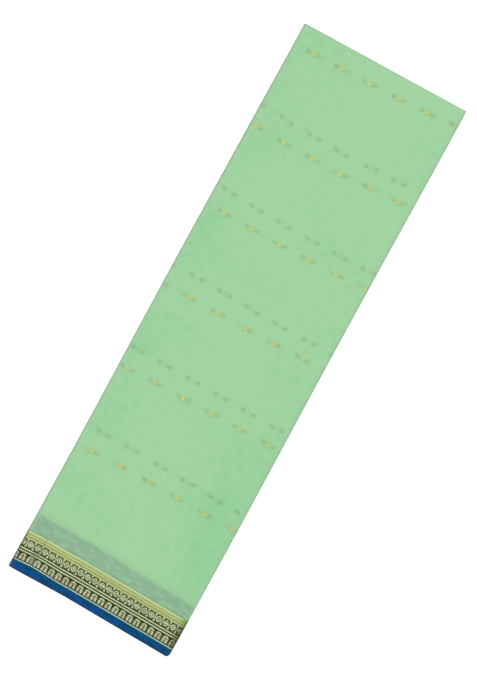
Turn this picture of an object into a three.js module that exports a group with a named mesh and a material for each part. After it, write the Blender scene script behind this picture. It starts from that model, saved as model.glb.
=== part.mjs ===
// A folded silk sari, in millimetres, with +Z up.
// One woven length of silk is folded in half across its width, border to border, and the doubled cloth is
// then folded in half along its length again and again, into a flat oblong stack.
// The half of the width that shows on top is the face half. The other is the under half, whose border lies
// a little back from the face half's.
// Origin: the centre of the underside. +Y points to the end where the cloth is folded across its width, and
// -Y to the end where its two woven borders lie.

import * as THREE from "three";

// Driving sizes
const BUNDLE_WIDTH = 175;
const BUNDLE_LENGTH = 588;
const UNDER_BORDER_SETBACK = 17;
const HALVINGS = 3;

// A modelled sheet stands for four layers of the thin silk, which lie close on each other.
const SHEET = 1.1;
const AIR = 0.3;

// Roundness of the folds that wrap a whole pile of layers, and of the soft corner at the border end
const WRAP_RADIUS = 3.2;
const SOFT_CORNER = 5;

// How far the cloth's two free ends stop short of the left edge
const INNER_END_TUCK = 2;
const OUTER_END_TUCK = 5;

// Unevenness of the stack
const BORDER_SINK = 2.5;
const BORDER_DROOP = 4;
const DROOP_START = -30;
const LOWER_LAYER_TUCK = 1.4;
const EDGE_WANDER = 0.4;
const WANDER_WAVE = { along: 70, up: 5 };
const CROWN = 0.8;
const CROWN_WAVE = { across: 55, along: 130, start: 0.6 };

// Steps of the mesh
const SPANS_ACROSS = 3;
const SPANS_ALONG = 7;
const BEND_STEPS = 6;
const HAIRPIN_STEPS = 4;

// Sizes worked out from those above
const HALF_WIDTH = BUNDLE_WIDTH / 2;
const HALF_LENGTH = BUNDLE_LENGTH / 2;
const PASSES = 2 ** HALVINGS;
const HALF_PASS = SHEET + AIR / 2;
const PITCH = 2 * (SHEET + AIR);
const HEIGHT = PASSES * PITCH - AIR;

function clamp01(value) {
  return Math.min(1, Math.max(0, value));
}

function smooth(value) {
  const t = clamp01(value);
  return t * t * (3 - 2 * t);
}

// The cloth is cut up in thought into passes, each one bundle wide. Halving it again and again turns the
// right half of the row of piles over onto the left half. The result lists the passes from the bottom up.
function stackOrder() {
  let piles = Array.from({ length: PASSES }, (_, pass) => [pass]);
  while (piles.length > 1) {
    const half = piles.length / 2;
    const turned = piles.slice(half).reverse();
    piles = piles.slice(0, half).map((pile, i) => [...pile, ...turned[i].reverse()]);
  }
  return piles[0];
}

// Each bend joins one pass to the next. Even passes run to the right and odd ones to the left.
function listBends(placeOf) {
  const bends = [];
  for (let pass = 0; pass < PASSES - 1; pass += 1) {
    const side = pass % 2 === 0 ? 1 : -1;
    const from = placeOf[pass];
    const to = placeOf[pass + 1];
    bends.push({ side, from, to, low: Math.min(from, to), high: Math.max(from, to) });
  }
  for (const bend of bends) {
    const wraps = (other) => other.side === bend.side && other.low < bend.low && other.high > bend.high;
    bend.depth = bends.filter(wraps).length;
  }
  return bends;
}

function levelOf(place) {
  return HALF_PASS + place * PITCH;
}

// A bend is two quarter turns with a straight rise between them, or one half turn where it is tight.
function bendPoints(bend) {
  const up = Math.sign(bend.to - bend.from);
  const turn = bend.side * up;
  const startHeading = bend.side > 0 ? 0 : Math.PI;
  const rise = (bend.high - bend.low) * PITCH;
  const radius = Math.min(rise / 2, Math.max(PITCH / 2, WRAP_RADIUS - bend.depth * PITCH));
  const edge = bend.side * (HALF_WIDTH - HALF_PASS - bend.depth * PITCH);
  const centreX = edge - bend.side * radius;
  const centres = [levelOf(bend.from) + up * radius, levelOf(bend.to) - up * radius];
  const isTight = rise / 2 - radius < SHEET / 2;
  const points = [];
  for (let step = 0; step <= BEND_STEPS; step += 1) {
    const angle = (Math.PI * step) / BEND_STEPS;
    const addPoint = (centreZ) =>
      points.push({
        x: centreX + bend.side * radius * Math.sin(angle),
        z: centreZ - up * radius * Math.cos(angle),
        heading: startHeading + turn * angle,
      });
    if (step <= BEND_STEPS / 2) {
      addPoint(centres[0]);
    }
    if (step > BEND_STEPS / 2 || (step === BEND_STEPS / 2 && !isTight)) {
      addPoint(centres[1]);
    }
  }
  return points;
}

// The middle line of the doubled cloth, seen from the border end, from one free end to the other
function foldPath() {
  const order = stackOrder();
  const placeOf = order.map((_, pass) => order.indexOf(pass));
  const bends = listBends(placeOf);
  const path = [{ x: -HALF_WIDTH + INNER_END_TUCK, z: levelOf(placeOf[0]), heading: 0 }];
  for (let pass = 0; pass < PASSES; pass += 1) {
    const bend = bends[pass];
    const heading = pass % 2 === 0 ? 0 : Math.PI;
    const lastEnd = { x: -HALF_WIDTH + OUTER_END_TUCK, z: levelOf(placeOf[pass]), heading };
    const next = bend ? bendPoints(bend) : [lastEnd];
    const startX = path[path.length - 1].x;
    for (let span = 1; span < SPANS_ACROSS; span += 1) {
      const x = THREE.MathUtils.lerp(startX, next[0].x, span / SPANS_ACROSS);
      path.push({ x, z: next[0].z, heading });
    }
    path.push(...next);
  }
  return path;
}

// The section of the doubled cloth along the bundle: a hairpin whose face half runs the whole length and
// whose under half stops short at the border end. Off is the distance from the middle line.
function hairpinSection() {
  const underStart = -HALF_LENGTH + UNDER_BORDER_SETBACK;
  const turnStart = HALF_LENGTH - HALF_PASS;
  const common = [];
  for (let span = 0; span <= SPANS_ALONG; span += 1) {
    common.push(THREE.MathUtils.lerp(underStart, turnStart, span / SPANS_ALONG));
  }
  const borderZone = [-HALF_LENGTH, -HALF_LENGTH + SOFT_CORNER / 2, -HALF_LENGTH + SOFT_CORNER];
  const faceLine = [...borderZone, ...common];
  const inner = AIR / 2;
  const section = faceLine.map((y) => ({ y, off: HALF_PASS }));
  for (let step = 1; step < HAIRPIN_STEPS; step += 1) {
    const angle = (Math.PI * step) / HAIRPIN_STEPS;
    section.push({ y: turnStart + HALF_PASS * Math.sin(angle), off: HALF_PASS * Math.cos(angle) });
  }
  const underLine = [...common].reverse();
  section.push(...underLine.map((y) => ({ y, off: -HALF_PASS })));
  section.push(...common.map((y) => ({ y, off: -inner })));
  section.push({ y: turnStart + inner, off: 0 });
  section.push(...faceLine.reverse().map((y) => ({ y, off: inner })));
  return section;
}

// Only the face half reaches the border end. The stack sinks there into the room that the under half
// leaves in each pair of passes, so that every sheet keeps its thickness.
function sinkShare(z) {
  const pair = 2 * PITCH;
  const room = pair - AIR - 2 * SHEET;
  const whole = Math.floor(z / pair);
  const within = Math.min(room, Math.max(0, z - whole * pair - SHEET));
  return (whole * room + within) / ((PASSES / 2) * room);
}

// The square corner at the right of the border end is drawn in to a round one.
function softenCorner(point) {
  const u = clamp01((point.x - HALF_WIDTH + SOFT_CORNER) / SOFT_CORNER);
  const v = clamp01((-point.y - HALF_LENGTH + SOFT_CORNER) / SOFT_CORNER);
  point.x += SOFT_CORNER * u * (Math.sqrt(1 - (v * v) / 2) - 1);
  point.y -= SOFT_CORNER * v * (Math.sqrt(1 - (u * u) / 2) - 1);
}

// The true stack is uneven: the border end droops to the right, lower layers are tucked in a little, the
// long edges wander, and the top is slightly crowned. The underside stays flat.
function settle(point) {
  softenCorner(point);
  const { x, y, z } = point;
  const depth = 1 - z / HEIGHT;
  const towardBorder = smooth(-y / HALF_LENGTH);
  const sink = BORDER_SINK * sinkShare(z) * smooth((-y - HALF_LENGTH) / UNDER_BORDER_SETBACK + 1);
  const droop = BORDER_DROOP * smooth((x - DROOP_START) / (HALF_WIDTH - DROOP_START));
  const wave = Math.sin(x / CROWN_WAVE.across + CROWN_WAVE.start) * Math.cos(y / CROWN_WAVE.along);
  const crown = (CROWN / HEIGHT) * (0.5 + 0.5 * wave);
  point.x = x + EDGE_WANDER * Math.sin(y / WANDER_WAVE.along + z / WANDER_WAVE.up);
  point.y = y * (1 - (LOWER_LAYER_TUCK * depth) / HALF_LENGTH) - droop * towardBorder;
  point.z = (z - sink) * (1 + crown);
}

function buildCloth() {
  const path = foldPath();
  const section = hairpinSection();
  const count = section.length;
  const positions = [];
  for (const station of path) {
    for (const corner of section) {
      const point = new THREE.Vector3(
        station.x + Math.sin(station.heading) * corner.off,
        corner.y,
        station.z - Math.cos(station.heading) * corner.off,
      );
      settle(point);
      positions.push(point.x, point.y, point.z);
    }
  }
  const faces = [];
  for (let row = 0; row < path.length - 1; row += 1) {
    for (let column = 0; column < count; column += 1) {
      const next = (column + 1) % count;
      const a = row * count + column;
      const b = row * count + next;
      const c = (row + 1) * count + next;
      const d = (row + 1) * count + column;
      faces.push(a, b, c, a, c, d);
    }
  }
  const outline = section.map((corner) => new THREE.Vector2(corner.y, corner.off));
  const lastRow = (path.length - 1) * count;
  for (const [a, b, c] of THREE.ShapeUtils.triangulateShape(outline, [])) {
    faces.push(a, b, c);
    faces.push(lastRow + a, lastRow + c, lastRow + b);
  }
  const geometry = new THREE.BufferGeometry();
  geometry.setAttribute("position", new THREE.Float32BufferAttribute(positions, 3));
  geometry.setIndex(faces);
  geometry.computeBoundingBox();
  const middle = geometry.boundingBox.getCenter(new THREE.Vector3());
  geometry.translate(-middle.x, -middle.y, 0);
  geometry.computeVertexNormals();
  return geometry;
}

const silk = new THREE.MeshStandardMaterial({ color: 0x9fd4a2, roughness: 0.55, metalness: 0 });

const sari = new THREE.Mesh(buildCloth(), silk);
sari.name = "sari";

const group = new THREE.Group();
group.name = "folded_sari";
group.add(sari);

export default group;
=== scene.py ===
import math

import bmesh
import bpy
import numpy as np
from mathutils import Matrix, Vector


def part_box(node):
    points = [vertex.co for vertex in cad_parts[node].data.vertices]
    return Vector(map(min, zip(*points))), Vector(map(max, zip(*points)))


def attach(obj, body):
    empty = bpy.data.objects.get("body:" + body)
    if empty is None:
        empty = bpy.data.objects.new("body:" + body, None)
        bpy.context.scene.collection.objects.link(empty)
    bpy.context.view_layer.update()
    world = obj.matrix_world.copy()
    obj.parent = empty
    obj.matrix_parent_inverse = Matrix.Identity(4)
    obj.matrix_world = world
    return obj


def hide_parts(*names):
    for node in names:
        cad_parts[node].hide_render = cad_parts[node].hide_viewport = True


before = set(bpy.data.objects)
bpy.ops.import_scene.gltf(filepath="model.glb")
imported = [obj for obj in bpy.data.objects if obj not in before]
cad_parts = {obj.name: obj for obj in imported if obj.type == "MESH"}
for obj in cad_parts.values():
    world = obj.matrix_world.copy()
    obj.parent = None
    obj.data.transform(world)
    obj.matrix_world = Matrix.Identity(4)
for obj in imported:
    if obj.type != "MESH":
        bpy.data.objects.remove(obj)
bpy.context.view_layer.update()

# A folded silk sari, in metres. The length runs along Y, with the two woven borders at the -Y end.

box_low, box_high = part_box("sari")

MM = 0.001
PHOTO_WIDTH, PHOTO_HEIGHT = 477, 681

# The cloth and its folding
HALVINGS = 5
PASSES = 2**HALVINGS
STACK_WIDTH = 175.6 * MM
STACK_LENGTH = 588 * MM
STACK_HEIGHT = 22.1 * MM
CLOTH_WIDTH = 1160 * MM
UNDER_SETBACK = 2 * STACK_LENGTH - CLOTH_WIDTH
CREST_ACROSS = STACK_LENGTH
AIR_SHARE = 0.18
PITCH = STACK_HEIGHT / PASSES
AIR = AIR_SHARE * PITCH
SHEET = PITCH / 2 - AIR
HALF_PASS = SHEET + AIR / 2
HALF_WIDTH = STACK_WIDTH / 2
HALF_LENGTH = STACK_LENGTH / 2

# Roundness of the folds
WRAP_RADIUS = 1.7 * MM
SOFT_CORNER = 3.5 * MM

# Unevenness of the stack
INNER_END_TUCK = 2 * MM
OUTER_END_TUCK = 4 * MM
BORDER_SINK = 2.6 * MM
BORDER_DROOP = 4 * MM
DROOP_START = -28 * MM
EDGE_WANDER = 0.4 * MM
WANDER_WAVE = {"along": 70 * MM, "up": 5 * MM}
CROWN = 0.7 * MM
CROWN_WAVE = {"across": 55 * MM, "along": 130 * MM, "start": 0.6}
LAYER_TUCK = 1.1 * MM
LAYER_SLIDE = 0.8 * MM
EDGE_RAGGED = 0.35 * MM
# The weft runs a little out of square with the fold at the upper end, and bows in the middle of the stack.
WEFT_FAN = 2.2 * MM
FAN_START = 100 * MM
WEFT_BOW = 3.4 * MM
BOW_PEAK = 187 * MM
BOW_END = HALF_LENGTH + 50 * MM
BOW_FALL = 0.9

# The main creases, as soft troughs in the top of the stack and painted shade in the silk, in millimetres
# from its middle. The turn is in degrees from the X axis, and the width is from the middle of the trough to
# its edge.
CREASES = (
    {"x": -67, "y": -268, "turn": 88, "length": 60, "width": 3.4, "sway": 0.5, "depth": 0.24},
    {"x": -54, "y": -14, "turn": 3, "length": 72, "width": 6.0, "sway": 1.4, "depth": 0.18},
    {"x": -70, "y": -47, "turn": 40, "length": 42, "width": 6.0, "sway": 0.6, "depth": 0.16},
    {"x": 62, "y": -176, "turn": -80, "length": 220, "width": 15.0, "sway": 2.0, "depth": 0.40},
    {"x": -72, "y": 92, "turn": 70, "length": 76, "width": 13.0, "sway": 2.0, "depth": 0.18},
)

# Steps of the mesh: the top pass is fine, the passes inside the stack are coarse.
TOP_SPANS = 88
INNER_SPANS = 3
FINE_STEP = 5 * MM
COARSE_STEP = 60 * MM
BEND_STEPS = 6
WRAP_STEPS = 12
HAIRPIN_STEPS = 6
WELD_DISTANCE = 0.001 * MM

# The floor is a hair above the underside of the stack, so that the two never lie in one plane.
FLOOR_LEVEL = 0.05 * MM
FLOOR_REACH = 4.0
FLOOR_GLOW = 0.75

# The light
KEY_STRENGTH = 2.05
KEY_WIDTH = math.radians(20)
KEY_TILT = math.radians(-15)
SKY_STRENGTH = 0.38

# Pixels across the baked picture that the map is laid out for, and how tall a fold's strip is in it: a least
# height, and more for each millimetre that the fold rises
BAKE_SIZE = 1024
STRIP_LEAST = 5
STRIP_PER_MM = 2.55

SEED = 7


def srgb(red, green, blue):
    """A colour given in the 0 to 255 values of a screen, as the linear colour that nodes use."""
    parts = []
    for value in (red, green, blue):
        share = value / 255
        parts.append(share / 12.92 if share <= 0.04045 else ((share + 0.055) / 1.055) ** 2.4)
    return (*parts, 1.0)


# Colours of the silk and of its metallic thread, and the painted shade and painted highlight of its folds
# and creases
GROUND = srgb(161, 212, 161)
GROUND_LIGHT = srgb(180, 226, 180)
# Darker tone of the silk, used both for its own random mottle and for painted shade
GROUND_MOTTLE_AND_PAINTED_SHADE = srgb(146, 206, 151)
# Painted shade and painted highlight along the pressed folds
FOLD_PAINTED_SHADE = srgb(140, 168, 140)
FOLD_PAINTED_HIGHLIGHT = srgb(170, 200, 168)
BLUE = srgb(0, 88, 150)
BLUE_DARK = srgb(0, 54, 84)
BLUE_BRIGHT = srgb(0, 76, 160)
BLUE_TEAL = srgb(8, 80, 82)
GOLD = srgb(136, 146, 84)
GOLD_LIGHT = srgb(182, 196, 128)
GOLD_PALE = srgb(192, 217, 156)
GOLD_BROWN = srgb(168, 148, 86)
GOLD_YELLOW = srgb(190, 200, 84)
# Painted shade of the gold band where it turns over the right fold
GOLD_FOLD_PAINTED_SHADE = srgb(104, 146, 62)
GOLD_RIM = srgb(112, 142, 98)
PALE_THREAD = srgb(214, 228, 178)
# Dark thread of the border, also used as painted shade near the folds
DARK_THREAD_AND_PAINTED_SHADE = srgb(28, 38, 14)
OLIVE_THREAD = srgb(92, 106, 60)
LINE_THREAD = srgb(202, 216, 164)
WHITE_THREAD = srgb(200, 232, 216)
FLOWER_GOLD = srgb(170, 192, 116)
FLOWER_LIGHT = srgb(190, 212, 146)
FLOWER_DARK = srgb(140, 164, 94)
LEAF = srgb(140, 174, 130)
LEAF_WARM = srgb(158, 184, 122)
WARM_TINT = srgb(206, 146, 116)
COOL_TINT = srgb(104, 168, 168)
# Painted shade in the crease across the border band
CREASE_PAINTED_SHADE_BROWN = srgb(128, 122, 72)
CREASE_PAINTED_SHADE_GREY = srgb(110, 128, 108)
WRONG_SIDE_TONE = srgb(120, 140, 116)
WRONG_SIDE_SHARE = 0.25

# The light that comes back from the under half through the face half, as a share of the ground's own
SEEN_BORDER = (0.72, 0.68, 0.80, 1)
SEEN_BORDER_LIGHT = (0.92, 0.86, 1.00, 1)
SEEN_GOLD = (0.96, 0.91, 0.90, 1)
SEEN_LEAF = (0.82, 0.80, 0.79, 1)
SEEN_FLOWER = (1.08, 0.90, 0.92, 1)
SEEN_BLUE = (0.75, 0.68, 1.12, 1)
SEEN_PINK = (1.05, 0.68, 0.86, 1)
SEEN_YELLOW = (1.00, 0.80, 0.62, 1)

# The woven design, in millimetres from the edge of the border and from the left fold of the top pass
FLOWER_PITCH = 30.56
# Each row of flowers, as its place from the edge and that of a flower from the fold
FLOWER_ROWS = ((134.4, 17.8), (219.8, 9.2), (306.6, 29.7), (393.6, 19.7), (481.4, 6.8), (568.7, 20.8))
FLOWER_ROW_SPACING = 86.5
NO_ROW = -100.0
ROUNDEL_PITCH = 7.815
ROUNDEL_START = 9.1
ROUNDEL_CENTRE = 26.6
BORDER_DEPTH = 38.6
# The band lies a little in from the cloth's edge, and a crease near the left fold draws it in some more.
BORDER_LIFT = 0.8
CREASE_PLACE = 20.5
CREASE_PULL = 1.6
CREASE_REACH = 32.0

# Camera, straight above, turned as the photo is
LENS = 120.0
SENSOR = 36.0
TURN = math.radians(28.6)
MM_PER_PIXEL = 0.950
CENTRE_PIXEL = (236.2, 340.35)
CLIP_END = 20.0


def add_object(name, data):
    piece = bpy.data.objects.new(name, data)
    bpy.context.scene.collection.objects.link(piece)
    return piece


def make_camera():
    data = bpy.data.cameras.new("camera")
    data.lens = LENS
    data.sensor_width = SENSOR
    data.clip_end = CLIP_END
    camera = add_object("camera", data)
    bpy.context.scene.camera = camera
    frame_height = PHOTO_HEIGHT * MM_PER_PIXEL * MM
    away = frame_height / 2 / (SENSOR / 2 / LENS)
    right = Vector((math.cos(TURN), math.sin(TURN), 0))
    up = Vector((-math.sin(TURN), math.cos(TURN), 0))
    off_right = (PHOTO_WIDTH / 2 - CENTRE_PIXEL[0]) * MM_PER_PIXEL * MM
    off_up = (CENTRE_PIXEL[1] - PHOTO_HEIGHT / 2) * MM_PER_PIXEL * MM
    camera.location = right * off_right + up * off_up + Vector((0, 0, STACK_HEIGHT + away))
    camera.rotation_euler = (0, 0, TURN)


class Value:
    """A socket of a node tree, so that sums of node values read like ordinary sums."""

    def __init__(self, tree, socket):
        self.tree = tree
        self.socket = socket

    def calc(self, operation, *others):
        node = self.tree.nodes.new("ShaderNodeMath")
        node.operation = operation
        for slot, value in zip(node.inputs, (self, *others)):
            join(self.tree, value, slot)
        return Value(self.tree, node.outputs[0])

    def __add__(self, other):
        return self.calc("ADD", other)

    def __sub__(self, other):
        return self.calc("SUBTRACT", other)

    def __mul__(self, other):
        return self.calc("MULTIPLY", other)

    def __truediv__(self, other):
        return self.calc("DIVIDE", other)

    def __neg__(self):
        return self.calc("MULTIPLY", -1.0)

    def sin(self):
        return self.calc("SINE")

    def cos(self):
        return self.calc("COSINE")

    def abs(self):
        return self.calc("ABSOLUTE")

    def root(self):
        return self.calc("SQRT")

    def low(self, other):
        return self.calc("MINIMUM", other)

    def high(self, other):
        return self.calc("MAXIMUM", other)

    def wrap(self, period):
        """The distance to the nearest multiple of the period, with its sign."""
        return self.calc("WRAP", period / 2, -period / 2)

    def smooth(self, start, end):
        """0 up to start, 1 from end on, and a soft step between."""
        node = self.tree.nodes.new("ShaderNodeMapRange")
        node.interpolation_type = "SMOOTHSTEP"
        join(self.tree, self, node.inputs["Value"])
        join(self.tree, start, node.inputs["From Min"])
        join(self.tree, end, node.inputs["From Max"])
        return Value(self.tree, node.outputs["Result"])

    def inside(self, start, end, soft):
        """1 between start and end, with soft edges."""
        half = soft * 0.5
        rise = self.smooth(start - half, start + half)
        fall = self.smooth(end - half, end + half)
        return rise - fall


def join(tree, value, slot):
    if isinstance(value, Value):
        tree.links.new(value.socket, slot)
    elif isinstance(value, bpy.types.NodeSocket):
        tree.links.new(value, slot)
    else:
        slot.default_value = value


def set_values(node, values):
    for label, value in values.items():
        node.inputs[label].default_value = value


def mix(tree, share, first, second, way="MIX"):
    """A colour between first and second."""
    node = tree.nodes.new("ShaderNodeMix")
    node.data_type = "RGBA"
    node.blend_type = way
    join(tree, share, node.inputs[0])
    join(tree, first, node.inputs[6])
    join(tree, second, node.inputs[7])
    return node.outputs[2]


def layered(tree, color, *layers):
    """A colour with others laid over it in turn, each given as its share and its tone."""
    for share, tone in layers:
        color = mix(tree, share, color, tone)
    return color


def oval(right, up):
    """How far a place lies from the middle of an oval, when both distances are shares of its reach."""
    return (right * right + up * up).root()


def new_group(kind, name, inputs, outputs):
    """A node group with named inputs and outputs, and a dictionary of its input values."""
    tree = bpy.data.node_groups.new(name, kind)
    for label, socket_type, default in inputs:
        item = tree.interface.new_socket(label, in_out="INPUT", socket_type=socket_type)
        if default is not None:
            item.default_value = default
    for label, socket_type in outputs:
        tree.interface.new_socket(label, in_out="OUTPUT", socket_type=socket_type)
    entry = tree.nodes.new("NodeGroupInput")
    values = {label: Value(tree, entry.outputs[label]) for label, _, _ in inputs}
    return tree, values, tree.nodes.new("NodeGroupOutput")


def hand_out(tree, leave, values):
    for label, value in values.items():
        join(tree, value, leave.inputs[label])


# The folding: which pass lies where, and the line that the doubled cloth follows


def stack_order():
    """The passes from the bottom up, after the cloth has been halved again and again."""
    piles = [[number] for number in range(PASSES)]
    while len(piles) > 1:
        half = len(piles) // 2
        turned = [pile[::-1] for pile in reversed(piles[half:])]
        piles = [pile + over for pile, over in zip(piles[:half], turned)]
    return piles[0]


def list_bends(place_of):
    """Each bend joins one pass to the next. Its depth is how many others on its side wrap round it."""
    bends = []
    for number in range(PASSES - 1):
        start, end = place_of[number], place_of[number + 1]
        side = 1 if number % 2 == 0 else -1
        bend = {"side": side, "from": start, "to": end}
        bend["low"], bend["high"] = min(start, end), max(start, end)
        bends.append(bend)
    for bend in bends:
        bend["depth"] = sum(
            other["side"] == bend["side"] and other["low"] < bend["low"] and other["high"] > bend["high"]
            for other in bends
        )
    return bends


def level_of(place):
    return HALF_PASS + place * PITCH


def bend_points(bend, ragged):
    """Points round one bend, as (x, z, heading)."""
    up = 1 if bend["to"] > bend["from"] else -1
    turn = bend["side"] * up
    first_heading = 0 if bend["side"] > 0 else math.pi
    rise = (bend["high"] - bend["low"]) * PITCH
    radius = min(rise / 2, max(PITCH / 2, WRAP_RADIUS - bend["depth"] * PITCH))
    edge = bend["side"] * (HALF_WIDTH - HALF_PASS - bend["depth"] * PITCH - ragged)
    centre_x = edge - bend["side"] * radius
    centres = (level_of(bend["from"]) + up * radius, level_of(bend["to"]) - up * radius)
    is_tight = rise / 2 - radius < SHEET / 2
    steps = BEND_STEPS if is_tight or bend["depth"] > 0 else WRAP_STEPS
    points = []
    for step in range(steps + 1):
        angle = math.pi * step / steps
        heights = []
        if step <= steps / 2:
            heights.append(centres[0])
        if step > steps / 2 or (step == steps / 2 and not is_tight):
            heights.append(centres[1])
        for height in heights:
            x = centre_x + bend["side"] * radius * math.sin(angle)
            z = height - up * radius * math.cos(angle)
            points.append((x, z, first_heading + turn * angle))
    return points


def fold_path():
    """The doubled cloth's middle line, seen from the border end, from one free end to the other, the
    numbers of the rows that lie on the crest of a fold, and the bends with their first and last rows.
    The layers slide and tuck a little by chance, apart from the one on top."""
    rng = np.random.default_rng(SEED)
    order = stack_order()
    place_of = [order.index(number) for number in range(PASSES)]
    bends = list_bends(place_of)
    levels = sorted({(bend["side"], bend["low"] + bend["high"]) for bend in bends})
    ragged = {level: EDGE_RAGGED * rng.uniform(0, 1) for level in levels}
    slide = [LAYER_SLIDE * rng.uniform(-1, 1) for _ in range(PASSES)]
    tuck = [LAYER_TUCK * rng.uniform(0.8, 1.2) for _ in range(PASSES)]
    slide[order[-1]] = tuck[order[-1]] = 0
    crests = []
    folds = []
    rows = [(-HALF_WIDTH + INNER_END_TUCK, level_of(place_of[0]), 0, slide[0], tuck[0])]
    for number in range(PASSES):
        heading = 0 if number % 2 == 0 else math.pi
        here = (slide[number], tuck[number])
        if number < PASSES - 1:
            bend = bends[number]
            level = (bend["side"], bend["low"] + bend["high"])
            wraps_top = bend["high"] == PASSES - 1
            turn = bend_points(bend, 0 if wraps_top else ragged[level])
            quarter = (len(turn) - 1) // 4
            is_tight = len(turn) % 2 == 1
            crest_steps = (2 * quarter + 1,) if is_tight else (quarter, len(turn) - 1 - quarter)
        else:
            crest_steps = ()
            turn = [(-HALF_WIDTH + OUTER_END_TUCK, level_of(place_of[number]), heading)]
        start_x, end_x, height = rows[-1][0], turn[0][0], turn[0][1]
        spans = TOP_SPANS if place_of[number] == PASSES - 1 else INNER_SPANS
        for span in range(1, spans):
            rows.append((start_x + (end_x - start_x) * span / spans, height, heading, *here))
        crests += [len(rows) + step for step in crest_steps]
        if number < PASSES - 1:
            folds.append({**bend, "first": len(rows), "last": len(rows) + len(turn) - 1})
        for step, (x, z, angle) in enumerate(turn):
            share = step / max(1, len(turn) - 1)
            after = min(number + 1, PASSES - 1)
            shift = here[0] + (slide[after] - here[0]) * share
            short = here[1] + (tuck[after] - here[1]) * share
            rows.append((x, z, angle, shift, short))
    return rows, crests, folds


def spread(start, end, step):
    """Evenly spaced values from start to end, both included, about a step apart."""
    return list(np.linspace(start, end, max(2, round(abs(end - start) / step) + 1)))


def hairpin_section():
    """The doubled cloth's section along the stack, as (y, distance from the middle line, place across the
    cloth, 1 on the wrong side). The face half runs the whole length and the under half stops short."""
    turn_start = HALF_LENGTH - HALF_PASS
    under_start = -HALF_LENGTH + UNDER_SETBACK
    corner_end = -HALF_LENGTH + SOFT_CORNER
    fine = spread(-HALF_LENGTH, corner_end, 1 * MM)
    fine += spread(corner_end, under_start, 2 * MM)[1:]
    fine += spread(under_start, turn_start, FINE_STEP)[1:]
    end_zone = [-HALF_LENGTH, corner_end]
    coarse = spread(under_start, turn_start, COARSE_STEP)
    inner = AIR / 2

    def face_across(y):
        return y + HALF_LENGTH

    def under_across(y):
        return CLOTH_WIDTH - (y - under_start)

    middle = CLOTH_WIDTH - (turn_start - under_start)
    section = [(y, HALF_PASS, face_across(y), 0) for y in fine]
    for step in range(1, HAIRPIN_STEPS):
        angle = math.pi * step / HAIRPIN_STEPS
        share = step / HAIRPIN_STEPS
        across = face_across(turn_start) * (1 - share) + middle * share
        section.append((turn_start + HALF_PASS * math.sin(angle), HALF_PASS * math.cos(angle), across, 0))
    section += [(y, -HALF_PASS, under_across(y), 0) for y in reversed(coarse)]
    section += [(y, -inner, under_across(y), 1) for y in coarse]
    section.append((turn_start + inner, 0, (face_across(turn_start) + middle) / 2, 1))
    section += [(y, inner, face_across(y), 1) for y in reversed(end_zone + coarse)]
    return section


def line_object(name, points, facts):
    """A helper mesh of loose points that carry named numbers, for the folding tree to read."""
    mesh = bpy.data.meshes.new(name)
    mesh.from_pydata(points, [], [])
    for label, numbers in facts.items():
        layer = mesh.attributes.new(label, "FLOAT", "POINT")
        layer.data.foreach_set("value", np.array(numbers, dtype=np.float32))
    return add_object(name, mesh)


def helper_lines():
    """The fold line and the section as helper meshes, and the measures that the bake map needs."""
    rows, crests, folds = fold_path()
    arc = [0.0]
    for (x0, z0, *_), (x1, z1, *_) in zip(rows, rows[1:]):
        arc.append(arc[-1] + math.hypot(x1 - x0, z1 - z0))
    # The way along the cloth is counted from the left fold of the top pass, which its last row leads to.
    top = [index for index, row in enumerate(rows) if row[1] > level_of(PASSES - 1.01)]
    left_fold = arc[top[-1]] + rows[top[-1]][0] + HALF_WIDTH
    path = line_object(
        "fold line",
        [(x, 0, z) for x, z, *_ in rows],
        {
            "heading": [row[2] for row in rows],
            "slide": [row[3] for row in rows],
            "tuck": [row[4] for row in rows],
            "along": [left_fold - value for value in arc],
            "from fold": [min(abs(value - arc[crest]) for crest in crests) for value in arc],
        },
    )
    section_points = hairpin_section()
    section = line_object(
        "doubled section",
        [(0, y, off) for y, off, _, _ in section_points],
        {
            "across": [point[2] for point in section_points],
            "wrong side": [point[3] for point in section_points],
        },
    )
    around = [0.0]
    for (y0, off0, *_), (y1, off1, *_) in zip(section_points, section_points[1:] + section_points[:1]):
        around.append(around[-1] + math.hypot(y1 - y0, off1 - off0))
    layout = {
        "folds": folds,
        "arc": np.array(arc),
        "x": np.array([row[0] for row in rows]),
        "y": np.array([point[0] for point in section_points + section_points[:1]]),
        "around": np.array(around),
        "face": sum(point[1] == HALF_PASS for point in section_points),
        "under": sum(point[1] == -HALF_PASS for point in section_points),
    }
    return path, section, layout


# The folding tree


def named(tree, label):
    node = tree.nodes.new("GeometryNodeInputNamedAttribute")
    node.data_type = "FLOAT"
    node.inputs["Name"].default_value = label
    return Value(tree, node.outputs["Attribute"])


def after(tree, geometry, kind):
    """A new node that takes in a geometry."""
    node = tree.nodes.new(kind)
    tree.links.new(geometry, node.inputs["Geometry"])
    return node


def sample(tree, geometry, value, index, data_type="FLOAT"):
    """A value of the helper line at one of its points."""
    node = after(tree, geometry, "GeometryNodeSampleIndex")
    node.data_type = data_type
    join(tree, value, node.inputs["Value"])
    join(tree, index, node.inputs["Index"])
    return node.outputs["Value"]


def store(tree, geometry, label, value, data_type="FLOAT", domain="POINT"):
    node = after(tree, geometry, "GeometryNodeStoreNamedAttribute")
    node.data_type = data_type
    node.domain = domain
    node.inputs["Name"].default_value = label
    join(tree, value, node.inputs["Value"])
    return node.outputs["Geometry"]


def parts_of(tree, vector):
    node = tree.nodes.new("ShaderNodeSeparateXYZ")
    join(tree, vector, node.inputs[0])
    return [Value(tree, output) for output in node.outputs]


def vector_of(tree, x, y, z):
    node = tree.nodes.new("ShaderNodeCombineXYZ")
    for value, slot in zip((x, y, z), node.inputs):
        join(tree, value, slot)
    return node.outputs[0]


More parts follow.
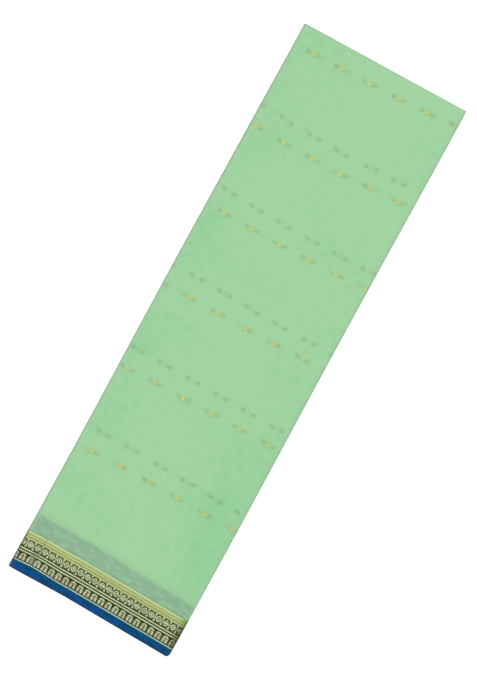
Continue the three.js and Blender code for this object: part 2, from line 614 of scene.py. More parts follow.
def crease_share(x, y, crease):
    """How far into one crease a point lies, from 0 to 1."""
    turn = math.radians(crease["turn"])
    length, width, sway = (crease[label] * MM for label in ("length", "width", "sway"))
    right, up = x - crease["x"] * MM, y - crease["y"] * MM
    run = right * math.cos(turn) + up * math.sin(turn)
    off = up * math.cos(turn) - right * math.sin(turn) + (run * (9.0 / length)).sin() * sway
    return off.abs().smooth(width, 0.0) * run.abs().smooth(length / 2, length / 8)


def folding_tree(path_count, section_count):
    """Sweeps the doubled section along the fold line, then settles the stack as cloth lies."""
    inputs = [
        ("Fold line", "NodeSocketObject", None),
        ("Section", "NodeSocketObject", None),
        ("Border sink", "NodeSocketFloat", BORDER_SINK),
        ("Border droop", "NodeSocketFloat", BORDER_DROOP),
        ("Edge wander", "NodeSocketFloat", EDGE_WANDER),
        ("Crown", "NodeSocketFloat", CROWN),
        ("Right side", "NodeSocketMaterial", None),
        ("Wrong side", "NodeSocketMaterial", None),
    ]
    outputs = [("Cloth", "NodeSocketGeometry")]
    tree, given, leave = new_group("GeometryNodeTree", "fold the cloth", inputs, outputs)
    helpers = []
    for label in ("Fold line", "Section"):
        info = tree.nodes.new("GeometryNodeObjectInfo")
        tree.links.new(given[label].socket, info.inputs["Object"])
        helpers.append(info.outputs["Geometry"])
    path, section = helpers

    grid = tree.nodes.new("GeometryNodeMeshGrid")
    set_values(grid, {"Vertices X": path_count, "Vertices Y": section_count + 1})
    index = Value(tree, tree.nodes.new("GeometryNodeInputIndex").outputs[0])
    row = (index / (section_count + 1.0)).calc("FLOOR")
    column = index - row * (section_count + 1.0)
    around = column.calc("FLOORED_MODULO", float(section_count))
    position = tree.nodes.new("GeometryNodeInputPosition").outputs[0]
    path_x, _, path_z = parts_of(tree, sample(tree, path, position, row, "FLOAT_VECTOR"))
    _, y, off = parts_of(tree, sample(tree, section, position, around, "FLOAT_VECTOR"))
    heading, slide, tuck, along, from_fold = (
        Value(tree, sample(tree, path, named(tree, label), row))
        for label in ("heading", "slide", "tuck", "along", "from fold")
    )
    across, wrong = (
        Value(tree, sample(tree, section, named(tree, label), around)) for label in ("across", "wrong side")
    )
    x = path_x + heading.sin() * off
    z = path_z - heading.cos() * off

    # The soft corner at the right of the border end
    u = (x - (HALF_WIDTH - SOFT_CORNER)).high(0.0).low(SOFT_CORNER) / SOFT_CORNER
    v = (-y - (HALF_LENGTH - SOFT_CORNER)).high(0.0).low(SOFT_CORNER) / SOFT_CORNER
    x = x + u * ((-(v * v) * 0.5 + 1.0).root() - 1.0) * SOFT_CORNER
    y = y - v * ((-(u * u) * 0.5 + 1.0).root() - 1.0) * SOFT_CORNER

    # The border end is thinner, because the under half doesn't reach it, and it droops to the right.
    toward_border = (-y).smooth(0.0, HALF_LENGTH)
    sink = (-y).smooth(HALF_LENGTH - UNDER_SETBACK, HALF_LENGTH) * given["Border sink"] / STACK_HEIGHT
    droop = (x - DROOP_START).high(0.0) / (HALF_WIDTH - DROOP_START) * given["Border droop"] * toward_border
    wave = (x / CROWN_WAVE["across"] + CROWN_WAVE["start"]).sin() * (y / CROWN_WAVE["along"]).cos()
    crown = (wave * 0.5 + 0.5) * given["Crown"] / STACK_HEIGHT
    wander = (y / WANDER_WAVE["along"] + z / WANDER_WAVE["up"]).sin() * given["Edge wander"]
    settled_y = y - y * tuck / HALF_LENGTH + slide - droop
    level = z / STACK_HEIGHT
    # Each point's share of the deepest crease is stored so that the silk is painted darker there: painted
    # shade in the creases.
    painted_crease_shade = x * 0.0
    trough = x * 0.0
    for crease in CREASES:
        share = crease_share(x, y, crease)
        painted_crease_shade = painted_crease_shade.high(share)
        trough = trough + share * (crease["depth"] * MM)
    settled_z = z * (-sink + 1.0) * (crown + 1.0) - trough * level * level * level

    # The weft fans out toward the upper end, and bows.
    side = x / HALF_WIDTH
    fan = side * (y - FAN_START).high(0.0) / (HALF_LENGTH - FAN_START) * WEFT_FAN
    bow_share = y.smooth(0.0, BOW_PEAK) - y.smooth(BOW_PEAK, BOW_END) * BOW_FALL
    bow = (-(side * side) + 1.0) * bow_share * WEFT_BOW
    stored = grid.outputs["Mesh"]
    for label, value in (
        ("along", along),
        ("across", across - fan + bow),
        ("from fold", from_fold),
        ("from middle", (across - CREST_ACROSS).abs()),
        ("wrong side", wrong),
        ("painted_crease_shade", painted_crease_shade),
        ("row", row),
        ("column", column),
    ):
        stored = store(tree, stored, label, value)
    place = after(tree, stored, "GeometryNodeSetPosition")
    join(tree, vector_of(tree, x + wander, settled_y, settled_z), place.inputs["Position"])

    smooth = after(tree, place.outputs["Geometry"], "GeometryNodeSetShadeSmooth")
    mapped = smooth.outputs["Geometry"]
    for label, first, second in (("cloth", "along", "across"), ("rows", "row", "column")):
        uv = vector_of(tree, named(tree, first), named(tree, second), 0.0)
        mapped = store(tree, mapped, label, uv, "FLOAT2", "CORNER")
    merge = after(tree, mapped, "GeometryNodeMergeByDistance")
    merge.inputs["Distance"].default_value = WELD_DISTANCE
    realize = after(tree, merge.outputs["Geometry"], "GeometryNodeRealizeInstances")
    right = after(tree, realize.outputs["Geometry"], "GeometryNodeSetMaterial")
    tree.links.new(given["Right side"].socket, right.inputs["Material"])
    back = after(tree, right.outputs["Geometry"], "GeometryNodeSetMaterial")
    tree.links.new(given["Wrong side"].socket, back.inputs["Material"])
    join(tree, named(tree, "wrong side").calc("GREATER_THAN", 0.9), back.inputs["Selection"])
    tree.links.new(back.outputs["Geometry"], leave.inputs["Cloth"])
    return tree


def set_input(modifier, label, value):
    for item in modifier.node_group.interface.items_tree:
        if item.item_type == "SOCKET" and item.in_out == "INPUT" and item.name == label:
            modifier[item.identifier] = value
            return
    raise ValueError(label)


def plain_mesh(holder, name):
    """The evaluated result of a holder's modifier as a plain mesh object at the origin."""
    graph = bpy.context.evaluated_depsgraph_get()
    mesh = bpy.data.meshes.new_from_object(holder.evaluated_get(graph))
    mesh.name = name
    piece = add_object(name, mesh)
    bpy.data.objects.remove(holder)
    return piece


def close_ends(mesh):
    """Closes the two open ends of the swept section, with a sharp edge round each."""
    work = bmesh.new()
    work.from_mesh(mesh)
    rim = [edge for edge in work.edges if edge.is_boundary]
    caps = bmesh.ops.holes_fill(work, edges=rim, sides=0)["faces"]
    bmesh.ops.triangulate(work, faces=caps)
    for edge in rim:
        edge.smooth = False
    bmesh.ops.recalc_face_normals(work, faces=work.faces)
    work.to_mesh(mesh)
    work.free()


def numbers_of(items, label, width=1, kind=np.float32):
    """A number, or a row of them, for each item of a mesh."""
    numbers = np.empty(len(items) * width, kind)
    items.foreach_get(label, numbers)
    return numbers.reshape(-1, width) if width > 1 else numbers


def lay_bake_map(mesh, layout, grid_faces):
    """A map, for baking only, with rectangles for the patches of the cloth that show. The other faces lie on
    each other on two strips, one for each side of the cloth."""
    rows_map = numbers_of(mesh.uv_layers["rows"].uv, "vector", 2)
    row, column = np.rint(rows_map.T).astype(int)
    first = numbers_of(mesh.polygons, "loop_start", kind=np.int32)
    total = numbers_of(mesh.polygons, "loop_total", kind=np.int32)
    cell_row = np.repeat(np.minimum.reduceat(row, first), total)
    cell_column = np.repeat(np.minimum.reduceat(column, first), total)
    free = np.repeat(np.arange(len(mesh.polygons)) < grid_faces, total)
    ends = ~free
    corner = numbers_of(mesh.loops, "vertex_index", kind=np.int32)
    points = numbers_of(mesh.vertices, "co", 3)[corner]
    arc, x = layout["arc"][row], layout["x"][row]
    y, around = layout["y"][column], layout["around"][column]
    places = np.zeros((len(mesh.loops), 2))

    def lay(chosen, right, up, box):
        """Puts the chosen faces that are still free into a box of (left, right, bottom, top) pixels."""
        chosen = chosen & free
        free[chosen] = False
        for side, values in enumerate((right, up)):
            part = values[chosen]
            low, high = box[2 * side], box[2 * side + 1]
            places[chosen, side] = low + (part - part.min()) / np.ptp(part) * (high - low)

    face, under = layout["face"], layout["under"]
    right_fold, left_fold = layout["folds"][0], layout["folds"][1]
    quarter = WRAP_STEPS // 2
    wall = right_fold["first"] + quarter
    face_side = cell_column < face - 1 + HAIRPIN_STEPS
    under_side = (cell_column >= face - 1) & (cell_column < face + HAIRPIN_STEPS + under - 2)
    top = face_side & (cell_row > wall) & (cell_row < left_fold["first"] + quarter)
    lay(top & (cell_column < face // 2), arc, around, (2, 490, 2, 808))
    lay(top, arc, around, (494, 982, 2, 808))
    lay(face_side & (cell_row == wall), arc, around, (986, 1022, 2, 808))
    lay(face_side & (cell_row < wall), around, arc, (2, 590, 812, 987))
    bottom = 812
    for fold in layout["folds"][1:]:
        if fold["side"] < 0 and fold["depth"] == 0:
            turns_left = fold["from"] > fold["to"]
            height = STRIP_LEAST + STRIP_PER_MM * (fold["high"] - fold["low"]) * PITCH / MM
            bend_rows = (cell_row >= fold["first"]) & (cell_row < fold["last"])
            outside = face_side if turns_left else under_side
            lay(bend_rows & outside, around, arc, (594, 1022, bottom, bottom + height - 2))
            bottom += height
    hairpin = face_side & under_side
    lay(hairpin, x, around, (594, 1022, 894, 936))
    lay(cell_column == len(layout["y"]) - 2, x, around, (594, 1022, 940, 952))
    lay(cell_column == face + HAIRPIN_STEPS + under - 2, x, around, (594, 1022, 956, 964))
    lay(face_side | under_side, y, x, (2, 1022, 991, 1004))
    lay(free.copy(), y, x, (2, 1022, 1008, 1022))
    free[:] = ends
    lay(ends, points[:, 1], points[:, 2], (594, 1022, 968, 987))
    bake = mesh.uv_layers.new(name="OFBake", do_init=False)
    bake.uv.foreach_set("vector", (places / BAKE_SIZE).astype(np.float32).ravel())
    mesh.uv_layers.remove(mesh.uv_layers["rows"])
    for label in ("row", "column"):
        mesh.attributes.remove(mesh.attributes[label])


def make_sari(right_side, wrong_side):
    """The folded cloth as one mesh, set in the middle of the CAD's box, with its underside at level 0."""
    path, section, layout = helper_lines()
    tree = folding_tree(len(path.data.vertices), len(section.data.vertices))
    holder = add_object("holder", bpy.data.meshes.new("holder"))
    fold = holder.modifiers.new("fold", "NODES")
    fold.node_group = tree
    inputs = {"Fold line": path, "Section": section, "Right side": right_side, "Wrong side": wrong_side}
    for label, value in inputs.items():
        set_input(fold, label, value)
    sari = plain_mesh(holder, "folded_sari")
    for helper in (path, section):
        bpy.data.objects.remove(helper)
    grid_faces = len(sari.data.polygons)
    close_ends(sari.data)
    lay_bake_map(sari.data, layout, grid_faces)
    points = numbers_of(sari.data.vertices, "co", 3)
    middle = (points.min(0) + points.max(0)) / 2
    target = (np.array(box_low) + np.array(box_high)) / 2
    points[:, :2] += (target - middle)[:2]
    points[:, 2] -= points[:, 2].min()
    sari.data.vertices.foreach_set("co", points.ravel())
    sari.data.update()
    return sari


# The woven design, as node groups in millimetres


def noise(tree, along, across, size, detail=1.0, seed=0.0):
    """Soft noise between 0 and 1, with features about a size wide."""
    node = tree.nodes.new("ShaderNodeTexNoise")
    set_values(node, {"Scale": 1.0, "Detail": detail})
    long, wide = size if isinstance(size, tuple) else (size, size)
    join(tree, vector_of(tree, along / long, across / wide, seed), node.inputs["Vector"])
    return Value(tree, node.outputs["Fac"])


def flecks(tree, along, across, size):
    """Round soft spots about a size apart, as (how near the middle of a spot, the spot's own chance)."""
    node = tree.nodes.new("ShaderNodeTexVoronoi")
    node.voronoi_dimensions = "2D"
    node.inputs["Scale"].default_value = 1.0
    join(tree, vector_of(tree, along / size, across / size, 0.0), node.inputs["Vector"])
    luck = parts_of(tree, node.outputs["Color"])[0]
    return Value(tree, node.outputs["Distance"]).smooth(0.6, 0.05), luck


def chance(tree, first, second):
    """A random number between 0 and 1 for each pair of whole numbers."""
    node = tree.nodes.new("ShaderNodeTexWhiteNoise")
    node.noise_dimensions = "2D"
    join(tree, vector_of(tree, first, second, 0.0), node.inputs["Vector"])
    return Value(tree, node.outputs["Value"])


def stack_share(along):
    """How far a place of the cloth lies from the left fold toward the right one, from 0 to 1."""
    return along.wrap(2 * STACK_WIDTH / MM).abs() / (STACK_WIDTH / MM)


def shader_group(name, outputs):
    """A group that works on a place of the cloth, given along it and in from its nearest woven edge."""
    inputs = [("Along", "NodeSocketFloat", 0.0), ("From edge", "NodeSocketFloat", 0.0)]
    tree, given, leave = new_group("ShaderNodeTree", name, inputs, outputs)
    return tree, given["Along"], given["From edge"], leave


def use_group(tree, group, along, edge):
    node = tree.nodes.new("ShaderNodeGroup")
    node.node_tree = group
    join(tree, along, node.inputs["Along"])
    join(tree, edge, node.inputs["From edge"])
    return {output.name: Value(tree, output) for output in node.outputs}


def flower_group():
    """One small flower and its two leaves at every place of the staggered rows."""
    labels = ("Flower", "Heart", "Lower edge", "Leaves", "Blurred leaves", "Chance")
    outputs = [(label, "NodeSocketFloat") for label in labels]
    tree, along, edge, leave = shader_group("small flowers", outputs)
    number = ((edge - FLOWER_ROWS[0][0]) / FLOWER_ROW_SPACING).calc("ROUND")
    # Beyond the rows the place is far off, so that nothing is woven there.
    row_place = edge * 0.0 + NO_ROW
    row_start = edge * 0.0
    for index, (from_edge, start) in enumerate(FLOWER_ROWS):
        here = (number - index).abs().calc("LESS_THAN", 0.5)
        row_place = row_place + here * (from_edge - NO_ROW)
        row_start = row_start + here * start
    cell = ((along - row_start) / FLOWER_PITCH).calc("ROUND")
    luck = chance(tree, cell, number)
    second_luck = chance(tree, number, cell)
    u = (along - row_start).wrap(FLOWER_PITCH) + (luck - 0.5) * 1.8
    v = edge - row_place + (second_luck - 0.5) * 0.8

    # The flower is a pear of thread that leans to the right, paler in the heart and darker below.
    lean = v - u * 0.16
    reach = u.smooth(-0.4, 0.8) * 1.3 + 3.3
    pointed = u.abs() / (reach * 1.15) + lean.abs() / 3.8
    rounded = oval(u / reach, lean / 3.8)
    rough = (noise(tree, along, edge, 1.5, seed=6.6) - 0.5) * 0.5
    flower = -(pointed * 0.4 + rounded * 0.6 + rough).smooth(0.5, 1.12) + 1.0
    heart = -oval((u + 0.6 - luck * 0.8) / 1.9, (v + 0.5) / 1.6).smooth(0.3, 1.1) + 1.0
    lower_edge = rounded.smooth(0.45, 0.85) * (-v).smooth(-0.6, 1.6)

    # Two smudged leaves beside it, one stronger than the other
    sign = u.calc("SIGN")
    side = u.abs() - 5.1
    leaf_reach = sign * (second_luck - 0.5) * 1.8 + 4.2
    lift = v - 0.1 - side * 0.12
    leaf_distance = oval(side / leaf_reach, lift / 2.9)
    strength = sign * (luck - 0.5) * 0.6 + 0.85
    leaves = (-(leaf_distance + rough * 0.7).smooth(0.15, 1.25) + 1.0) * strength
    ghost_side = u.abs() - 4.9 - luck * 0.8
    ghost_lift = v - side * 0.12 + sign * (second_luck - 0.5) * 0.9
    blurred = -(oval(ghost_side / 4.2, ghost_lift / 2.9) + rough * 0.9).smooth(0.15, 1.25) + 1.0
    values = (flower, heart, lower_edge * flower, leaves, blurred, luck)
    hand_out(tree, leave, dict(zip(labels, values)))
    return tree


def border_group():
    """The border band: blue selvedge, white line, row of paired buds, double line, roundels, gold lines."""
    outputs = [("Color", "NodeSocketColor")]
    outputs += [(label, "NodeSocketFloat") for label in ("Cover", "Metal", "Relief")]
    tree, along, true_edge, leave = shader_group("woven border", outputs)
    pull = (along - CREASE_PLACE).abs().smooth(CREASE_REACH, 0.0)
    edge = true_edge - pull * (-true_edge * 0.022 + CREASE_PULL) - BORDER_LIFT
    edge = edge + (noise(tree, along, true_edge, (3.4, 2.8), seed=31.0) - 0.5) * 0.7
    along = along + (noise(tree, along, true_edge, (2.8, 3.4), seed=33.0) - 0.5) * 0.7
    fine = noise(tree, along, edge, 1.1, seed=3.1)
    spots = noise(tree, along, edge, (2.6, 2.2), seed=8.2)
    streaks = noise(tree, along, edge, (14.0, 0.8), seed=5.4)

    # Roundels: a dark ring round a pale one with a patterned heart, and a pale upright between the rings
    u = (along - ROUNDEL_START).wrap(ROUNDEL_PITCH)
    v = edge - ROUNDEL_CENTRE
    slant = (u.abs() / 3.5 + v.abs() / 3.9) * 0.74
    octagon = slant.high(u.abs() / 3.5).high(v.abs() / 3.9)
    kind = chance(tree, ((along - ROUNDEL_START) / ROUNDEL_PITCH).calc("ROUND"), 9.0)
    link = v.abs().smooth(0.6, 0.2) * 0.6
    ring = octagon.inside(0.74, 1.04, 0.12) * (-link + 1.0)
    dashes = (v.abs() - 1.2).abs().smooth(0.8, 0.35) * u.abs().smooth(2.1, 1.3)
    eye_ring = octagon.inside(0.2, 0.48, 0.16)
    dots = mix(tree, kind.smooth(0.32, 0.4), dashes * 0.8, eye_ring * (kind * 0.5 + 0.4))
    dots = parts_of(tree, dots)[0]
    between = (u.abs() - ROUNDEL_PITCH / 2).abs()
    foot = (v.abs() - 3.4).abs().smooth(0.6, 0.2) * between.smooth(1.4, 0.9)
    upright = between.smooth(0.8, 0.35).high(foot) * 0.9
    corners = octagon.smooth(0.98, 1.08) * (-upright + 1.0)
    frame_rows = v.abs().smooth(3.9, 4.15)
    petals = octagon.inside(0.52, 0.72, 0.12) * (fine.smooth(0.44, 0.6) * 0.5)
    roundel_dark = ring.high(dots).high(petals).high(corners).high(frame_rows)
    in_roundels = edge.inside(22.0, 31.0, 0.4)
    roundel_pale = in_roundels * (-roundel_dark + 1.0)

    # Paired buds: two bodies joined under one round top, with a dark slit between them and a dark neck
    pair = (along - ROUNDEL_START + 1.2).wrap(ROUNDEL_PITCH)
    top = (edge - 14.0).high(0.0)
    loaf = oval(pair / 3.15, top / 2.5).smooth(1.05, 0.9)
    slit_top = (edge - 14.2).high(0.0)
    slit = oval(pair / 0.56, slit_top / 1.4).smooth(1.3, 0.7)
    neck = (edge - 13.8).abs().smooth(0.65, 0.2) * pair.abs().smooth(0.8, 1.2) * 0.75
    waist = (edge - 11.6).abs().smooth(0.5, 0.1) * 0.3
    eye = ((pair.abs() - 1.75).abs() + (edge - 15.0).abs()).smooth(0.8, 0.3) * 0.5
    bud_pale = (loaf - slit.high(neck).high(waist).high(eye)).high(0.0)
    bud_pale = edge.inside(9.8, 17.0, 0.5) * bud_pale

    lines = edge.inside(17.7, 18.75, 0.35).high(edge.inside(20.4, 21.45, 0.35))
    thread = layered(
        tree,
        PALE_THREAD,
        (fine.smooth(0.45, 0.65) * 0.45, GOLD),
        (spots.smooth(0.6, 0.72) * 0.3, WARM_TINT),
        (spots.smooth(0.4, 0.3) * 0.3, COOL_TINT),
    )
    spot, spot_luck = flecks(tree, along, edge, 3.1)
    bud_luck = chance(tree, (along / (ROUNDEL_PITCH / 2)).calc("FLOOR"), 4.0)
    bud_thread = layered(
        tree,
        thread,
        (fine.smooth(0.42, 0.6) * 0.35, OLIVE_THREAD),
        (bud_luck.smooth(0.6, 0.9) * 0.3, WHITE_THREAD),
        (bud_luck.smooth(0.6, 0.2) * 0.24 + edge.smooth(14.5, 11.0) * 0.2, WARM_TINT),
        (spot * spot_luck.smooth(0.78, 0.92) * 0.4, WARM_TINT),
        (spot * spot_luck.smooth(0.2, 0.08) * 0.5, COOL_TINT),
    )
    line_thread = mix(tree, spots.smooth(0.62, 0.74) * 0.4, LINE_THREAD, WARM_TINT)

    # Gold lines towards the ground, thin enough for its green to tint them
    in_gold = edge.inside(30.8, BORDER_DEPTH, 0.6)
    stripe = ((edge - 31.5) * (2 * math.pi / 2.97)).cos() * 0.6 + 0.5
    gold = layered(
        tree,
        GOLD,
        (stripe, GOLD_LIGHT),
        (streaks.smooth(0.5, 0.7) * 0.3, GOLD_BROWN),
        (spots.smooth(0.54, 0.68) * edge.smooth(37.0, 34.0) * 0.3, GOLD_YELLOW),
        (fine.smooth(0.5, 0.7) * 0.3, PALE_THREAD),
        (fine.smooth(0.46, 0.3) * edge.smooth(34.0, 32.0) * 0.4, OLIVE_THREAD),
        (edge.smooth(35.4, 37.2) * 0.6, GOLD_PALE),
    )
    rim = (edge - BORDER_DEPTH - 0.8).abs().smooth(1.0, 0.3) * 0.35

    # The white line, twisted like a rope, and the blue selvedge
    white = edge.inside(7.5, 8.65, 0.6)
    rope = ((along + edge * 0.8) * (2 * math.pi / 2.4)).cos() * 0.25 + 0.75
    broad = noise(tree, along, edge, (11.0, 4.0), seed=21.0)
    blue = layered(
        tree,
        BLUE,
        (fine.smooth(0.4, 0.6) * 0.55, BLUE_DARK),
        (streaks.smooth(0.45, 0.7) * 0.3, BLUE_DARK),
        (spots.smooth(0.45, 0.6) * 0.6, BLUE_DARK),
        (broad.smooth(0.5, 0.38) * 0.45, BLUE_DARK),
        (broad.smooth(0.5, 0.65) * 0.6, BLUE_BRIGHT),
        (fine.smooth(0.5, 0.7) * 0.5, BLUE_BRIGHT),
        (true_edge.smooth(2.6, 0.6) * 0.55, BLUE_DARK),
        (edge.smooth(4.6, 6.8) * 0.85, BLUE_TEAL),
    )

    # A crease crosses the band near the left fold, painted as shade: a blurred grey strip low down and a
    # fine line above it.
    soft_crease_painted_shade = (along - CREASE_PLACE + 3.0).abs().smooth(4.5, 1.0) * edge.inside(9.5, 22.0, 1.5) * 0.5
    crease_line_dent_and_shade = (along - CREASE_PLACE + (edge / 9.0).sin() * 0.3).abs().smooth(0.9, 0.2)
    crease_line_dent_and_shade = crease_line_dent_and_shade * edge.inside(22.0, BORDER_DEPTH, 1.0) * 0.45

    # Where the band turns over the right fold it is painted darker, as painted shade on the rounded fold.
    right_fold_painted_shade = along.smooth(165.0, 174.0) - along.smooth(176.0, 182.0)
    color = layered(
        tree,
        DARK_THREAD_AND_PAINTED_SHADE,
        (fine.smooth(0.42, 0.68) * 0.6, OLIVE_THREAD),
        (edge.inside(18.75, 20.4, 0.4) * 0.45, OLIVE_THREAD),
        (roundel_pale, thread),
        (bud_pale, bud_thread),
        (lines, line_thread),
        (in_gold, gold),
        (edge.smooth(BORDER_DEPTH, BORDER_DEPTH + 0.4), GOLD_RIM),
        (white * rope, WHITE_THREAD),
        (edge.smooth(7.6, 7.2), blue),
        (soft_crease_painted_shade, CREASE_PAINTED_SHADE_GREY),
        (crease_line_dent_and_shade, CREASE_PAINTED_SHADE_BROWN),
        (right_fold_painted_shade * in_gold * 0.7, GOLD_FOLD_PAINTED_SHADE),
        (right_fold_painted_shade * edge.inside(9.0, 31.0, 1.0) * 0.6, DARK_THREAD_AND_PAINTED_SHADE),
    )

    pale = roundel_pale.high(bud_pale).high(lines)
    metal = (pale * 0.12).high(in_gold * 0.15)
    relief = pale.high(in_gold * (stripe * 0.5 + 0.4)).high(white * rope) - crease_line_dent_and_shade
    cover = edge.smooth(BORDER_DEPTH + 0.3, BORDER_DEPTH - 0.4).high(rim)
    hand_out(tree, leave, {"Color": color, "Cover": cover, "Metal": metal, "Relief": relief})
    return tree


def beneath_group(flowers):
    """How the under half's wrong side tints the face half that lies over it."""
    tree, along, edge, leave = shader_group("seen through", [("Tint", "NodeSocketColor")])
    local = stack_share(along) * 2.0 - 1.0
    setback = edge.smooth(0.0, 130.0) * 2.5 + 16.0 - local * 2.2
    under_edge = edge - setback
    under_along = along - ((-edge + 136.0) * 0.0303 + 2.85)
    seen = use_group(tree, flowers, under_along, under_edge)
    fleck, fleck_luck = flecks(tree, under_along, under_edge, 4.6)
    clouds = noise(tree, under_along, under_edge, (9.0, 5.0), seed=17.0)
    in_border = under_edge.smooth(BORDER_DEPTH + 1.6, BORDER_DEPTH - 1.6)
    haze = under_edge.smooth(BORDER_DEPTH + 9.0, BORDER_DEPTH)
    lower = under_edge.smooth(35.0, 32.5)
    shown = fleck * (lower * 0.7 + 0.2)
    pale = shown * fleck_luck.smooth(0.35, 0.9) * 0.65
    light = (pale + clouds.smooth(0.45, 0.6) * 0.4 + lower * 0.04).low(1.0)
    border = mix(tree, light, SEEN_BORDER, SEEN_BORDER_LIGHT)
    for start, seen_color in ((0.06, SEEN_BLUE), (0.16, SEEN_PINK), (0.26, SEEN_YELLOW)):
        chosen = fleck_luck.inside(start, start + 0.09, 0.02)
        border = mix(tree, shown * chosen * 0.6, border, seen_color)
    tint = layered(
        tree,
        (1, 1, 1, 1),
        (haze, SEEN_GOLD),
        (seen["Blurred leaves"], SEEN_LEAF),
        (seen["Flower"] * 0.7, SEEN_FLOWER),
        (in_border, border),
    )
    join(tree, tint, leave.inputs["Tint"])
    return tree


def attribute(tree, label):
    node = tree.nodes.new("ShaderNodeAttribute")
    node.attribute_name = label
    return Value(tree, node.outputs["Fac"])


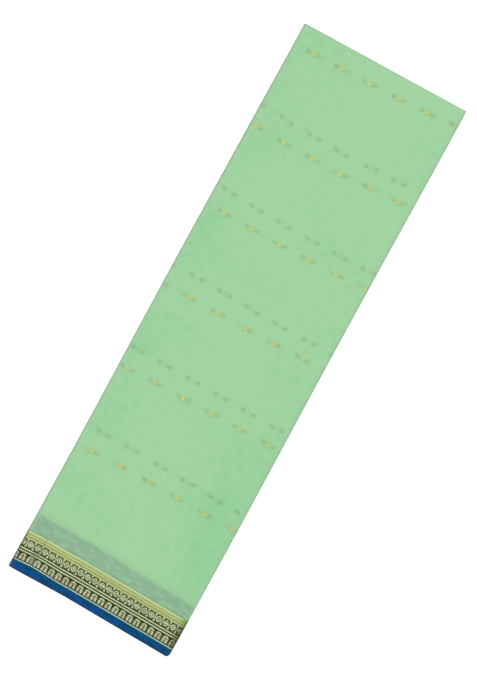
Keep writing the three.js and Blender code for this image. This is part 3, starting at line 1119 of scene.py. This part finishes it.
def silk_material(name, groups, is_wrong_side):
    """The woven silk, on the cloth's own map: millimetres along the sari and across it."""
    flowers, border, beneath = groups
    material = bpy.data.materials.new(name)
    material.use_nodes = True
    tree = material.node_tree
    tree.nodes.clear()
    shader = tree.nodes.new("ShaderNodeBsdfPrincipled")
    leave = tree.nodes.new("ShaderNodeOutputMaterial")
    tree.links.new(shader.outputs[0], leave.inputs["Surface"])
    cloth = tree.nodes.new("ShaderNodeUVMap")
    cloth.uv_map = "cloth"
    u, v, _ = parts_of(tree, cloth.outputs[0])
    along = u / MM
    across = v / MM
    edge = across.low(-across + CLOTH_WIDTH / MM)

    slubs = noise(tree, along, across, (26.0, 0.7), seed=1.0)
    threads = noise(tree, along, across, (0.6, 9.0), seed=2.0)
    clouds = noise(tree, along, across, (70.0, 55.0), seed=4.0)
    local = stack_share(along)
    mottle = noise(tree, along, across, (9.0, 6.5), seed=14.0)
    # Painted shade: darker toward the right fold near the border end, near the left fold and in the creases,
    # mixed with the silk's own random cloudy and mottled tone; all of it is weaker over the border.
    painted_shade_and_mottle = local.smooth(0.45, 1.1) * across.smooth(420.0, 0.0) * 0.95 + local.smooth(0.35, 0.0) * 0.35
    painted_shade_and_mottle = painted_shade_and_mottle + (clouds - 0.5) * 1.2 + (mottle - 0.5) * 1.6 + attribute(tree, "painted_crease_shade") * 0.35
    painted_shade_and_mottle = painted_shade_and_mottle * (across.smooth(40.0, 90.0) * 0.6 + 0.4)
    weave = slubs.smooth(0.5, 0.8) * 0.10 + threads.smooth(0.5, 0.8) * 0.06
    color = layered(tree, GROUND, (painted_shade_and_mottle.high(0.0).low(1.0), GROUND_MOTTLE_AND_PAINTED_SHADE), (weave, GROUND_LIGHT))

    if not is_wrong_side:
        tint = use_group(tree, beneath, along, edge)["Tint"]
        color = mix(tree, 1.0, color, tint, "MULTIPLY")

    found = use_group(tree, flowers, along, edge)
    band = use_group(tree, border, along, edge)
    luck, flower, leaves, cover = found["Chance"], found["Flower"], found["Leaves"], band["Cover"]
    leaf_color = mix(tree, luck.smooth(0.3, 0.9) * 0.6, LEAF, LEAF_WARM)
    flower_color = layered(
        tree,
        FLOWER_GOLD,
        (found["Heart"] * (luck * 0.6 + 0.4), FLOWER_LIGHT),
        (found["Lower edge"] * 0.7, FLOWER_DARK),
        (luck.smooth(0.8, 0.95) * 0.15, WARM_TINT),
    )

    # The pressed folds: painted shade as a thin grey line on the crest, stronger at the left fold than at
    # the right, and a painted highlight as a paler line beside it; over the border the band is painted
    # darker near the folds.
    from_fold = attribute(tree, "from fold") / MM
    from_middle = attribute(tree, "from middle") / MM
    near = from_fold.low(from_middle)
    ground_share = -cover * 0.95 + 1.0
    color = layered(
        tree,
        color,
        (leaves * 0.62, leaf_color),
        (flower * 0.9, flower_color),
        (cover, band["Color"]),
        (near.smooth(4.5, 1.2) * ground_share * 0.4, FOLD_PAINTED_HIGHLIGHT),
        (near.smooth(1.5, 0.6) * ground_share * (-local * 0.55 + 0.75), FOLD_PAINTED_SHADE),
        (near.smooth(2.2, 0.6) * cover * (edge.smooth(7.0, 9.0) * 0.5 + 0.5) * 0.5, DARK_THREAD_AND_PAINTED_SHADE),
    )
    if is_wrong_side:
        color = mix(tree, WRONG_SIDE_SHARE, color, WRONG_SIDE_TONE)
    join(tree, color, shader.inputs["Base Color"])

    metal = (flower * 0.12).high(cover * band["Metal"])
    join(tree, metal, shader.inputs["Metallic"])
    join(tree, -metal * 0.5 + 0.58, shader.inputs["Roughness"])
    set_values(shader, {"Sheen Weight": 0.02, "Sheen Roughness": 0.4, "Specular IOR Level": 0.12})
    relief = (flower * 0.8 + leaves * 0.5).high(cover * band["Relief"])
    bump = tree.nodes.new("ShaderNodeBump")
    set_values(bump, {"Strength": 0.6, "Distance": 0.12 * MM})
    join(tree, relief + slubs * 0.5 + threads * 0.4, bump.inputs["Height"])
    tree.links.new(bump.outputs[0], shader.inputs["Normal"])
    return material


def make_floor():
    mesh = bpy.data.meshes.new("floor")
    signs = ((-1, -1), (1, -1), (1, 1), (-1, 1))
    corners = [(x * FLOOR_REACH, y * FLOOR_REACH, FLOOR_LEVEL) for x, y in signs]
    mesh.from_pydata(corners, [], [(0, 1, 2, 3)])
    floor = add_object("floor", mesh)
    material = bpy.data.materials.new("pale floor")
    material.use_nodes = True
    shader = material.node_tree.nodes["Principled BSDF"]
    set_values(shader, {"Base Color": (0.9, 0.9, 0.9, 1), "Roughness": 0.9})
    set_values(shader, {"Emission Color": (1, 1, 1, 1), "Emission Strength": FLOOR_GLOW})
    mesh.materials.append(material)


def make_lights():
    data = bpy.data.lights.new("soft key", "SUN")
    data.energy = KEY_STRENGTH
    data.angle = KEY_WIDTH
    key = add_object("soft key", data)
    key.rotation_euler = (KEY_TILT, KEY_TILT, 0)
    world = bpy.data.worlds.new("studio")
    world.use_nodes = True
    set_values(world.node_tree.nodes["Background"], {"Color": (1, 1, 1, 1), "Strength": SKY_STRENGTH})
    bpy.context.scene.world = world
    bpy.context.scene.view_settings.view_transform = "Standard"


make_camera()
flowers = flower_group()
groups = (flowers, border_group(), beneath_group(flowers))
right_side = silk_material("silk, right side", groups, False)
wrong_side = silk_material("silk, wrong side", groups, True)
sari = make_sari(right_side, wrong_side)
make_floor()
make_lights()

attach(sari, "root")
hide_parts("sari")
